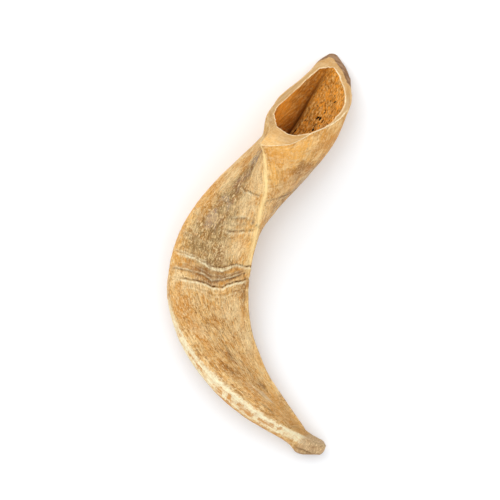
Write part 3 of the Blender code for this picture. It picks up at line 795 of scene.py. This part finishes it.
# Each face has the finish of its part of the horn: 0 the skin, 1 the rim, 2 the hollow. The sheet's two
# long edges and its two ends are then joined, which closes the seam, the tip and the hollow's bottom.
SAME_POINT = 0.0000002
face_rows = np.array([min(row[vertex] for vertex in face.vertices) for face in horn.data.polygons])
face_finish = np.where(face_rows < HOLLOW.stop - 1, 2, np.where(face_rows < RIM.stop, 1, 0))
horn.data.polygons.foreach_set("material_index", face_finish)
bpy.ops.object.mode_set(mode="EDIT")
bpy.ops.mesh.select_all(action="SELECT")
bpy.ops.mesh.remove_doubles(threshold=SAME_POINT)
bpy.ops.mesh.normals_make_consistent(inside=False)
bpy.ops.object.mode_set(mode="OBJECT")
bpy.ops.object.shade_smooth()


def put(tree, socket, value):
    """Links a socket to another node's output, or sets its own value."""
    if isinstance(value, bpy.types.NodeSocket):
        tree.links.new(value, socket)
    else:
        socket.default_value = value


def node(tree, kind, **inputs):
    """A new node with its inputs set, or linked where a value is another node's socket."""
    made = tree.nodes.new(kind)
    for name, value in inputs.items():
        put(tree, made.inputs[name], value)
    return made


def kept_value(tree, value, output="Fac"):
    """What the mesh's points keep under a name, or the value itself where it is no name."""
    if not isinstance(value, str):
        return value
    made = tree.nodes.new("ShaderNodeAttribute")
    made.attribute_name = value
    return made.outputs[output]


def calc(tree, operation, first, second=0.0, third=0.0):
    """A sum, product or other piece of arithmetic on two or three values."""
    made = tree.nodes.new("ShaderNodeMath")
    made.operation = operation
    for socket, value in zip(made.inputs, (first, second, third)):
        put(tree, socket, value)
    return made.outputs[0]


def rising(tree, value, slope, start):
    """The start plus the slope times the value."""
    return calc(tree, "MULTIPLY_ADD", kept_value(tree, value), slope, start)


def times(tree, *values):
    """All the values multiplied together."""
    product = kept_value(tree, values[0])
    for value in values[1:]:
        product = calc(tree, "MULTIPLY", product, kept_value(tree, value))
    return product


def between(tree, value, low, high):
    """0 where a value is at low, 1 where it is at high, and a smooth climb between."""
    made = tree.nodes.new("ShaderNodeMapRange")
    made.interpolation_type = "SMOOTHSTEP"
    for name, number in (("Value", kept_value(tree, value)), ("From Min", low), ("From Max", high)):
        put(tree, made.inputs[name], number)
    return made.outputs[0]


def over(tree, under, colour, mask):
    """One colour laid over another as far as the mask says."""
    made = tree.nodes.new("ShaderNodeMix")
    made.data_type = "RGBA"
    for socket, value in ((0, mask), (6, under), (7, colour)):
        put(tree, made.inputs[socket], value)
    return made.outputs[2]


def layered(tree, ground, layers):
    """Colours laid over the ground in turn, each as far as the product of its masks says."""
    colour = ground
    for tint, *masks in layers:
        colour = over(tree, colour, tint, times(tree, *masks))
    return colour


def ragged(tree, mask, texture, amount=0.6, low=0.15, high=0.75):
    """A soft mask given an edge as uneven as the texture."""
    uneven_by = rising(tree, texture, amount, -amount / 2)
    return between(tree, calc(tree, "ADD", kept_value(tree, mask), uneven_by), low, high)


def group_of(name, inputs):
    """An empty node group with float inputs, a vector input first, and one output, Mask."""
    group = bpy.data.node_groups.new(name, "ShaderNodeTree")
    group.interface.new_socket("Grain", in_out="INPUT", socket_type="NodeSocketVector")
    for label, value in inputs:
        socket = group.interface.new_socket(label, in_out="INPUT", socket_type="NodeSocketFloat")
        socket.default_value = value
    group.interface.new_socket("Mask", in_out="OUTPUT", socket_type="NodeSocketFloat")
    return group, group.nodes.new("NodeGroupInput"), group.nodes.new("NodeGroupOutput")


def close_group(group, group_in, group_out, vector, scale, detail):
    """Ends a group with a noise, of which only what is above From shows, and in full above To."""
    noisy = node(group, "ShaderNodeTexNoise", Vector=vector, Scale=scale, Detail=detail, Roughness=0.65)
    shown = between(group, noisy.outputs["Fac"], group_in.outputs["From"], group_in.outputs["To"])
    group.links.new(shown, group_out.inputs["Mask"])


def calc_vector(tree, operation, *vectors):
    """A piece of arithmetic on vectors."""
    made = tree.nodes.new("ShaderNodeVectorMath")
    made.operation = operation
    for socket, vector in zip(made.inputs, vectors):
        put(tree, socket, vector)
    return made.outputs[0]


# Streaks run along the grain: how wide and long they are, and which share of the noise shows.
streaks, streaks_in, streaks_out = group_of(
    "grain_streaks", (("Width", 1.0), ("Length", 15.0), ("From", 0.45), ("To", 0.65), ("Shift", 0.0))
)
narrow = calc(streaks, "DIVIDE", 1.0, streaks_in.outputs["Width"])
long = calc(streaks, "DIVIDE", 1.0, streaks_in.outputs["Length"])
stretch = node(streaks, "ShaderNodeCombineXYZ", X=narrow, Y=narrow, Z=long).outputs[0]
streaks_at = calc_vector(
    streaks, "MULTIPLY_ADD", streaks_in.outputs["Grain"], stretch, streaks_in.outputs["Shift"]
)
close_group(streaks, streaks_in, streaks_out, streaks_at, 1.0, 3.0)

# Blotches have no direction: how large they are and which share of the noise shows.
blotches, blotches_in, blotches_out = group_of(
    "grain_blotches", (("Size", 5.0), ("From", 0.45), ("To", 0.65), ("Shift", 0.0))
)
blotches_at = calc_vector(blotches, "ADD", blotches_in.outputs["Grain"], blotches_in.outputs["Shift"])
shrunk = calc(blotches, "DIVIDE", 1.0, blotches_in.outputs["Size"])
close_group(blotches, blotches_in, blotches_out, blotches_at, shrunk, 4.0)


def pattern(tree, group, grain_name, first, last, shift=0.0, **sizes):
    """A group's mask on a grain that the points keep, with its own sizes in millimetres. It begins to
    show where the noise is at first, and shows in full at last. A shift takes another part of the noise."""
    placed = tree.nodes.new("ShaderNodeGroup")
    placed.node_tree = group
    put(tree, placed.inputs["Grain"], kept_value(tree, grain_name, "Vector"))
    for name, value in (("From", first), ("To", last), ("Shift", shift), *sizes.items()):
        placed.inputs[name].default_value = value
    return placed.outputs["Mask"]


def new_finish(name, specular):
    """A new material for the horn; gives its nodes and its shader."""
    made = bpy.data.materials.new(name)
    made.use_nodes = True
    horn.data.materials.append(made)
    finish = made.node_tree.nodes["Principled BSDF"]
    finish.inputs["Specular IOR Level"].default_value = specular
    return made.node_tree, finish


def bumped(tree, shader, height, strength, depth):
    """Gives a shader the fine relief of a height, with its depth in metres."""
    bump = node(tree, "ShaderNodeBump", Height=height, Strength=strength, Distance=depth)
    put(tree, shader.inputs["Normal"], bump.outputs[0])


# The outside is dry, weathered keratin, half matt and tan, with grey-brown in the valley, a pale keel and
# a cream band. Mottles and fibres lie over that, then the patches once more, then flecks and scratches.
# Painted shade goes into the crease grooves, the groove at the nub and some of the brown patches, and
# painted highlights onto the crease banks, the band's ridge and one of the light lines.
TAN = (0.72, 0.37, 0.092, 1.0)
HONEY = (0.60, 0.245, 0.036, 1.0)
GOLD = (0.95, 0.50, 0.115, 1.0)
BROWN = (0.23, 0.085, 0.016, 1.0)
OLIVE = (0.38, 0.18, 0.040, 1.0)
FIBRE_BROWN = (0.22, 0.08, 0.012, 1.0)
LIGHT_TAN = (1.0, 0.69, 0.31, 1.0)
GREY_BROWN = (0.22, 0.13, 0.045, 1.0)
VIOLET_GREY = (0.42, 0.33, 0.27, 1.0)
DUSTY = (0.93, 0.71, 0.39, 1.0)
CREAM = (1.0, 0.92, 0.63, 1.0)
KEEL_YELLOW = (1.0, 0.74, 0.34, 1.0)
CREASE_SHADE_AND_LINE_BROWN = (0.15, 0.062, 0.012, 1.0)
LIP_HIGHLIGHT = (1.0, 0.87, 0.56, 1.0)
NUB_GREY = (0.56, 0.36, 0.185, 1.0)
NUB_TAN = (0.42, 0.235, 0.10, 1.0)

tree, shader = new_finish("horn_skin", specular=0.16)
large = pattern(tree, blotches, "grain", 0.38, 0.62, Size=12.0)
small = pattern(tree, blotches, "grain", 0.36, 0.66, 31.0, Size=2.2)
fine_grain = pattern(tree, blotches, "grain", 0.36, 0.66, 41.0, Size=0.8)
speckle = pattern(tree, blotches, "grain", 0.50, 0.62, 71.0, Size=0.9)
dots = pattern(tree, blotches, "grain", 0.56, 0.65, 91.0, Size=0.8)
mottles = pattern(tree, blotches, "grain", 0.46, 0.57, 12.0, Size=5.5)
clouds = pattern(tree, blotches, "grain", 0.49, 0.60, 62.0, Size=4.0)
fibres_dark = pattern(tree, streaks, "fibre_grain", 0.46, 0.62, Width=0.60, Length=5.0)
fibres_light = pattern(tree, streaks, "fibre_grain", 0.47, 0.63, 17.0, Width=0.55, Length=4.0)
long_fibres = pattern(tree, streaks, "fibre_grain", 0.48, 0.66, 23.0, Width=1.0, Length=14.0)
flecks = pattern(tree, streaks, "fibre_grain", 0.54, 0.64, 37.0, Width=0.7, Length=1.6)
broad = pattern(tree, streaks, "fibre_grain", 0.44, 0.62, 53.0, Width=2.4, Length=12.0)
uneven = rising(tree, small, 0.5, times(tree, fine_grain, 0.5))
crumbly = rising(tree, fine_grain, 0.7, 0.4)
valley_shade, pale_shade, gold_shade, honey_shade, violet_shade, brown_shade = (
    ragged(tree, name, uneven) for name in ("valley_grey", "pale", "gold", "honey", "violet", "brown_and_shade")
)
band_shade = ragged(tree, "edge_cream", uneven, 1.0, 0.3, 0.75)
band_spot = ragged(tree, "band_brown", uneven, 1.0, 0.2, 0.7)
colour = layered(tree, TAN, (
    (HONEY, large, 0.55),
    (OLIVE, broad, "streaky", 0.30),
    (GOLD, gold_shade, 0.8),
    (GREY_BROWN, valley_shade, 0.8),
    (DUSTY, pale_shade, 0.65),
    (VIOLET_GREY, violet_shade, 0.6),
    # Brown, partly painted shade.
    (BROWN, brown_shade, 0.5),
    (HONEY, mottles, 0.5),
    (LIGHT_TAN, clouds, 0.5),
    (FIBRE_BROWN, long_fibres, "streaky", "off_band", 0.40),
    (FIBRE_BROWN, fibres_dark, "fibrous", rising(tree, "streaky", 0.15, 0.62), "off_band"),
    (LIGHT_TAN, fibres_light, "fibrous", rising(tree, "streaky", 0.18, 0.58)),
    (GREY_BROWN, valley_shade, 0.58),
    (HONEY, honey_shade, 0.60),
    (GOLD, gold_shade, 0.30),
    (VIOLET_GREY, violet_shade, 0.50),
    # Brown, partly painted shade.
    (BROWN, brown_shade, 0.52),
    (DUSTY, pale_shade, 0.30),
    (HONEY, mottles, small, 0.32),
    (DUSTY, clouds, uneven, 0.30),
    (DUSTY, flecks, "fibrous", 0.80),
    (LIGHT_TAN, speckle, "fibrous", 0.40),
    (BROWN, dots, "fibrous", 0.60, "off_band"),
    (CREAM, band_shade, rising(tree, fibres_dark, -0.55, 1.0), rising(tree, small, -0.5, 1.0)),
    # Painted highlight along the band's ridge.
    (CREAM, "band_ridge_with_highlight", crumbly, 0.9),
    (HONEY, band_spot, rising(tree, fibres_light, -0.6, 0.85)),
    (NUB_GREY, "nub", 0.85),
    (DUSTY, "nub", speckle, 0.8),
    (BROWN, "nub", dots, 0.6),
    (NUB_TAN, "nub_under", 0.85),
    # Painted shade in the groove at the nub.
    (CREASE_SHADE_AND_LINE_BROWN, "nub_groove", 0.6),
    (KEEL_YELLOW, "keel_pale", rising(tree, fibres_dark, -0.35, 1.0)),
    (DUSTY, "line_light", crumbly, 0.6),
    # Painted highlight on the tops of the crease banks.
    (LIP_HIGHLIGHT, "painted_lip_highlight", rising(tree, speckle, 0.6, 0.42)),
    # Painted shade in the crease grooves, and the dark lines.
    (CREASE_SHADE_AND_LINE_BROWN, "painted_crease_shade_and_dark_lines", crumbly, 0.9),
))
put(tree, shader.inputs["Base Color"], colour)
gloss = rising(tree, speckle, 0.12, 0.44)
put(tree, shader.inputs["Roughness"], rising(tree, "valley_grey", 0.15, gloss))
height = rising(tree, speckle, 0.5, rising(tree, fibres_dark, -0.8, fibres_light))
bumped(tree, shader, height, strength=0.8, depth=0.0002)

# The sawn rim shows the wall cut across: tan keratin with faint layers that follow the edges, a painted
# highlight along both of them, and dark weathered bark along the outer edge at its far corner.
RIM_TAN = (0.58, 0.32, 0.105, 1.0)
RIM_ORANGE = (0.86, 0.51, 0.175, 1.0)
RIM_PALE_AND_HIGHLIGHT = (0.95, 0.80, 0.52, 1.0)
RIM_GREY = (0.40, 0.225, 0.090, 1.0)
BARK_BROWN = (0.145, 0.070, 0.038, 1.0)
BARK_LIGHT = (0.33, 0.20, 0.125, 1.0)

tree, shader = new_finish("sawn_rim", specular=0.14)
layers = pattern(tree, blotches, "rim_layers", 0.36, 0.66, Size=0.9)
cloud = pattern(tree, blotches, "grain", 0.36, 0.66, Size=4.5)
speck = pattern(tree, blotches, "grain", 0.50, 0.62, 9.0, Size=0.7)
nearest_edge = calc(tree, "MINIMUM", kept_value(tree, "from_inner"), kept_value(tree, "from_outer"))
past_bark = calc(tree, "SUBTRACT", kept_value(tree, "from_outer"), kept_value(tree, "rim_bark"))
bark = ragged(tree, between(tree, past_bark, 0.5, -0.7), cloud, 0.35, 0.15, 0.75)
bark_tint = over(tree, BARK_BROWN, BARK_LIGHT, times(tree, layers, 0.8))
# Painted highlights along both worn edges of the rim; the outer one only as far as rim_glint says.
inner_edge_highlight = times(tree, between(tree, "from_inner", 0.85, 0.25), rising(tree, cloud, 0.5, 0.4))
outer_edge_highlight = times(tree, between(tree, "from_outer", 1.0, 0.3), "rim_glint")
colour = layered(tree, RIM_TAN, (
    (RIM_ORANGE, "rim_orange"),
    (RIM_GREY, "rim_grey", between(tree, nearest_edge, 0.3, 1.5), 0.6),
    (RIM_GREY, cloud, 0.32),
    (RIM_PALE_AND_HIGHLIGHT, layers, 0.22),
    (RIM_GREY, speck, 0.25),
    (bark_tint, bark, 0.85),
    # Painted highlights along the inner and outer edges.
    (RIM_PALE_AND_HIGHLIGHT, inner_edge_highlight, rising(tree, speck, -0.8, 1.0)),
    (RIM_PALE_AND_HIGHLIGHT, outer_edge_highlight, rising(tree, cloud, -0.5, 1.0), rising(tree, speck, -0.6, 1.0)),
))
put(tree, shader.inputs["Base Color"], colour)
put(tree, shader.inputs["Roughness"], rising(tree, cloud, 0.12, 0.52))
bumped(tree, shader, rising(tree, layers, 0.6, speck), strength=0.5, depth=0.00015)

# The wall of the hollow is bare orange-brown keratin, never polished: streaked and smooth toward the
# keel, crumbly and pitted on the other side, with painted shade in and around its crease.
WALL_ORANGE = (0.97, 0.38, 0.048, 1.0)
WALL_SMOOTH = (0.74, 0.24, 0.022, 1.0)
WALL_BROWN = (0.21, 0.052, 0.004, 1.0)
WALL_DARK_AND_SHADE = (0.085, 0.022, 0.002, 1.0)
WALL_LIGHT = (1.0, 0.58, 0.19, 1.0)
PIT_BLACK = (0.012, 0.004, 0.001, 1.0)

tree, shader = new_finish("hollow_wall", specular=0.03)
fibres = pattern(tree, streaks, "grain", 0.46, 0.64, Width=1.3, Length=8.0)
crumb_tops = pattern(tree, blotches, "grain", 0.47, 0.60, 5.0, Size=0.9)
crumb_gaps = pattern(tree, blotches, "grain", 0.50, 0.64, 25.0, Size=0.75)
dull = pattern(tree, blotches, "grain", 0.42, 0.58, 15.0, Size=4.0)
specks = pattern(tree, blotches, "grain", 0.60, 0.68, 45.0, Size=0.6)
colour = layered(tree, WALL_SMOOTH, (
    (WALL_ORANGE, "rough_wall"),
    (WALL_BROWN, fibres, 0.22),
    (WALL_BROWN, dull, 0.38),
    (WALL_LIGHT, "rough_wall", crumb_tops, 0.75),
    (WALL_BROWN, "rough_wall", crumb_gaps, 0.62),
    # Painted shade around the hollow's crease, then along it.
    (WALL_BROWN, "hollow_shade", 0.62),
    (WALL_DARK_AND_SHADE, "hollow_crease_shade", 0.9),
    (WALL_DARK_AND_SHADE, specks, 0.6),
    (PIT_BLACK, ragged(tree, "pit_dark", crumb_gaps, 0.4, 0.25, 0.5)),
))
put(tree, shader.inputs["Base Color"], colour)
shader.inputs["Roughness"].default_value = 0.6
height = calc(tree, "MULTIPLY_ADD", crumb_tops, kept_value(tree, "rough_wall"), times(tree, fibres, -0.2))
height = rising(tree, times(tree, crumb_gaps, "rough_wall"), -0.8, height)
bumped(tree, shader, height, strength=0.8, depth=0.0004)

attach(horn, "root")
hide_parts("horn")

# The studio: a plain pale floor, one large soft light from beyond the base, and pale light all round.
bpy.ops.object.select_all(action="DESELECT")
bpy.ops.mesh.primitive_plane_add(size=6.0, location=(0.0, 0.0, 0.0))
floor = bpy.context.object
floor.name = "floor"
floor_paint = bpy.data.materials.new("floor_paint")
floor_paint.use_nodes = True
floor_shader = floor_paint.node_tree.nodes["Principled BSDF"]
floor_shader.inputs["Base Color"].default_value = (0.94, 0.955, 0.975, 1.0)
floor_shader.inputs["Roughness"].default_value = 0.9
floor.data.materials.append(floor_paint)

world = bpy.data.worlds.new("studio")
bpy.context.scene.world = world
world.use_nodes = True
world.node_tree.nodes["Background"].inputs["Color"].default_value = (1.0, 1.0, 1.0, 1.0)
world.node_tree.nodes["Background"].inputs["Strength"].default_value = 1.06

bpy.ops.object.light_add(type="AREA", location=(-0.45, 0.65, 0.9))
lamp = bpy.context.object
lamp.name = "soft_box"
lamp.data.size = 1.1
lamp.data.energy = 4.5
lamp.rotation_euler = (Vector((0.0, 0.0, 0.0)) - lamp.location).to_track_quat("-Z", "Y").to_euler()

# The camera looks straight down from a metre and a half, as the photograph was taken.
FRAME_WIDTH = 0.225
CAMERA_HEIGHT = 1.5006
FRAME_LEVEL = 0.0156
bpy.ops.object.camera_add(location=(-0.00426, 0.00174, CAMERA_HEIGHT), rotation=(0.0, 0.0, 0.0))
camera = bpy.context.object
camera.data.sensor_width = 36.0
camera.data.lens = camera.data.sensor_width * (CAMERA_HEIGHT - FRAME_LEVEL) / FRAME_WIDTH
camera.data.clip_end = 10.0
bpy.context.scene.camera = camera
bpy.context.scene.view_settings.view_transform = "Standard"
